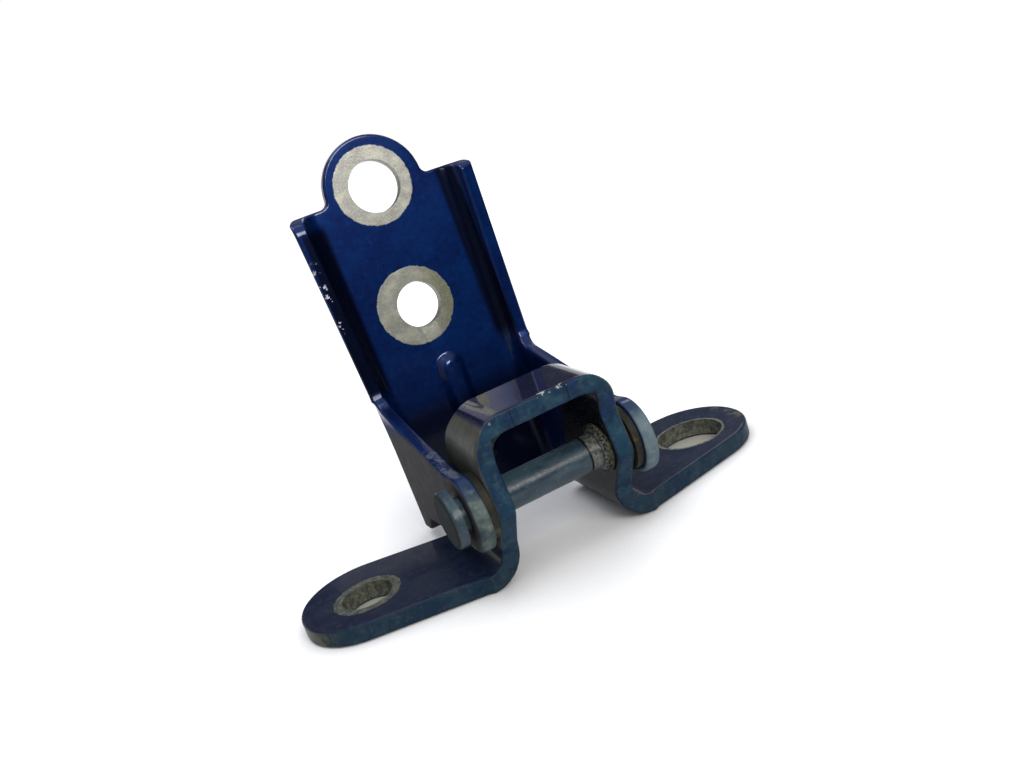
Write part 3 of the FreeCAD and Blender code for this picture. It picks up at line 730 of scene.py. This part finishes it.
def pressed(x, y, z):
    """Lift: the slope's drop times how far out and how high up the point is. Widening:
    outwards, growing up the flange. Corner: a square with sides a and b goes to a quarter
    disc by a * sqrt(1 - b * b / 2) and b * sqrt(1 - a * a / 2)."""
    lift = SLOPE_DROP * LEVELLED * ramp(x, SLOPE_FROM, SLOPE_WIDTH) * ramp(
        y, LIFT_FROM, LIFT_OVER)
    x, y = x + lift * FLANGE_LEAN, y + lift
    x = x + np.sign(x) * WIDER * ramp(y, WIDER_FROM, WIDER_OVER) * ramp(
        np.abs(x), FLAT_HALF, BEND_WIDTH)
    a, b = ramp(y, SHOULDER - CORNER, CORNER), ramp(z, flange_top - CORNER, CORNER)
    share = (a > 0) * (b > 0) * ramp(np.abs(x), SLOPE_FROM, BEND_WIDTH)
    y = y + share * (SHOULDER - CORNER * (1 - a * np.sqrt(1 - b * b / 2)) - y)
    z = z + share * (flange_top - CORNER * (1 - b * np.sqrt(1 - a * a / 2)) - z)
    return np.stack([x, y, z], axis=1)


before = leaf_points([v.co for v in shell.verts])
after = pressed(*before.T)
print("points moved by up to", round(np.abs(after - before).max(), 2), "mm")
for vertex, place in zip(shell.verts, (after @ row_to_leaf + PIN) * MM):
    vertex.co = place
mesh = bpy.data.meshes.new("pressed_leaf")
shell.to_mesh(mesh)
shell.free()

# %% The pressed leaf takes the solid's place
mesh.polygons.foreach_set("use_smooth", np.ones(len(mesh.polygons), bool))
mesh.set_sharp_from_angle(angle=math.radians(SHARP_FROM))
pressed_leaf = bpy.data.objects.new("pressed_leaf", mesh)
scene.collection.objects.link(pressed_leaf)
flats = pressed_leaf.modifiers.new("flat_faces_lead", "WEIGHTED_NORMAL")
flats.keep_sharp = True
mesh.materials.append(leaf_paint)
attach(pressed_leaf, "leaf")
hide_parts("channel_leaf")
print("pressed_leaf:", len(mesh.polygons), "faces")

# %% [markdown]
# ## Dried grease round the pin
# Where the pin enters the right ear, old grease and road dirt have dried to a crumbly
# ring. It is a ring surface: a half-round profile carried round the pin, whose radius
# goes up and down with a sum of sine waves, so that no two places of it are alike.

# %% Grease ring
RING_STEPS, PROFILE_STEPS = 140, 18
RING_START, RING_END = 11.0, 12.47
RING_INNER, RING_HEIGHT = 4.5, 1.25
ROUGH_HEIGHT, RAGGED_EDGE = 0.16, 0.22
CRUMB_WAVES = 14


def crumbs(angle, along, seed):
    """Sum of sine waves with random turns and phases, scaled to about -1 .. 1."""
    dice = np.random.default_rng(seed)
    total = np.zeros(np.broadcast(angle, along).shape)
    for _ in range(CRUMB_WAVES):
        total += np.sin(dice.integers(2, 30) * angle + dice.uniform(-5, 5) * along
                        + dice.uniform(0, 2 * np.pi))
    return total / math.sqrt(CRUMB_WAVES)


def grease_ring():
    """x goes from a ragged start to the end and back at the inner radius, and the radius
    is inner + height * sqrt(sin(pi * s)) * (1 + crumbs) for s from 0 to 1."""
    angle = np.linspace(0, 2 * np.pi, RING_STEPS, endpoint=False)[:, None]
    share = np.linspace(0, 1, PROFILE_STEPS)[None, :]
    bump = crumbs(angle, share, 5)
    height = np.sin(np.pi * share) ** 0.5 * (1 + ROUGH_HEIGHT * bump)
    radius = RING_INNER + RING_HEIGHT * height
    ragged = RAGGED_EDGE * crumbs(angle, 0 * share, 9)
    along = RING_START + ragged + (RING_END - RING_START - ragged) * share
    grid = np.stack([along, PIN[1] + radius * np.cos(angle),
                     PIN[2] + radius * np.sin(angle)], axis=2)
    index = np.arange(RING_STEPS * PROFILE_STEPS).reshape(RING_STEPS, PROFILE_STEPS)
    after = np.roll(index, -1, axis=0)
    side = np.roll(index, -1, axis=1)
    both = np.roll(after, -1, axis=1)
    quads = np.stack([index, after, both, side], axis=2).reshape(-1, 4)
    return grid.reshape(-1, 3), quads.tolist()


ring_points, ring_faces = grease_ring()
grease = mesh_piece("dried_grease", ring_points, ring_faces)
shell = bmesh.new()
shell.from_mesh(grease.data)
bmesh.ops.recalc_face_normals(shell, faces=shell.faces)
shell.to_mesh(grease.data)
shell.free()
grease.data.polygons.foreach_set("use_smooth", np.ones(len(grease.data.polygons), bool))
print("dried_grease:", len(grease.data.polygons), "faces")

# %% Grease finish
grease_finish, tree = new_finish("dried_grease_and_dust")
place = bracket_mm(tree)
crumble = add(tree, "TexNoise", {"Vector": place, "Scale": 1 / 0.5, "Detail": 5.0,
                                 "Roughness": 0.7})
colour = coats(tree, "#14150f", (zone(tree, (crumble, 0.4, 0.55)), "#4b4a40", 1.0),
               (zone(tree, (crumble, 0.56, 0.68)), "#8c8a78", 0.8))
bumps = add(tree, "Bump", {"Strength": 0.9, "Distance": 0.0004, "Height": crumble})
add(tree, "OutputMaterial", {0: add(tree, "BsdfPrincipled", {
    "Base Color": colour, "Roughness": 0.85, "Normal": bumps,
    "Specular IOR Level": 0.2})})
grease.data.materials.append(grease_finish)
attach(grease, "bracket")

# %% Finish
low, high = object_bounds()
